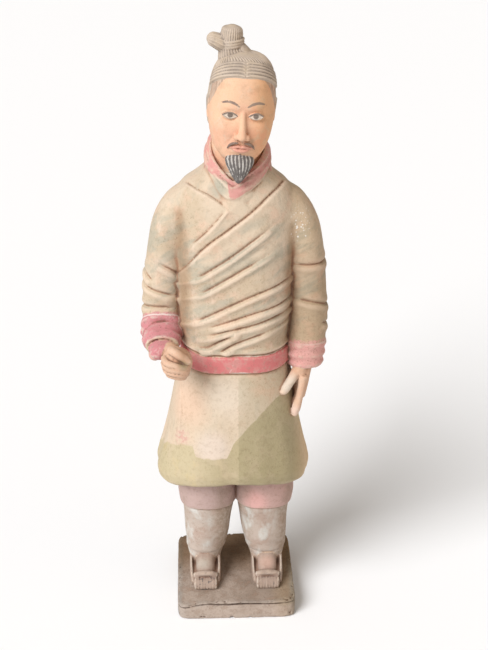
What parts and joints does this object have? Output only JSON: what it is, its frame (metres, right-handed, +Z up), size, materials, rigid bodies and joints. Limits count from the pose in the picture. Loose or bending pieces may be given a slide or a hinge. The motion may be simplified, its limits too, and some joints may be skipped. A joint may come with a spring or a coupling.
{
  "type": "terracotta warrior statue",
  "caption": "Standing robed warrior in painted terracotta on a square plinth, one fist closed, head set into the scarf.",
  "frame": {"origin": "on the underside of the plinth, under the figure's standing axis", "axes": "+Z up the standing figure, -Y the way it faces, +X towards its left hand"},
  "size_m": [0.3029, 0.2424, 1.0022],
  "materials": {
    "plinth": "bare fired clay, dusty and worn",
    "figure": "matt earth paint over fired clay, faded and smudged",
    "head": "matt skin tone and grey hair paint over fired clay"
  },
  "bodies": {
    "root": {"plinth": "plinth", "figure": "figure", "head": "head"}
  },
  "joints": []
}
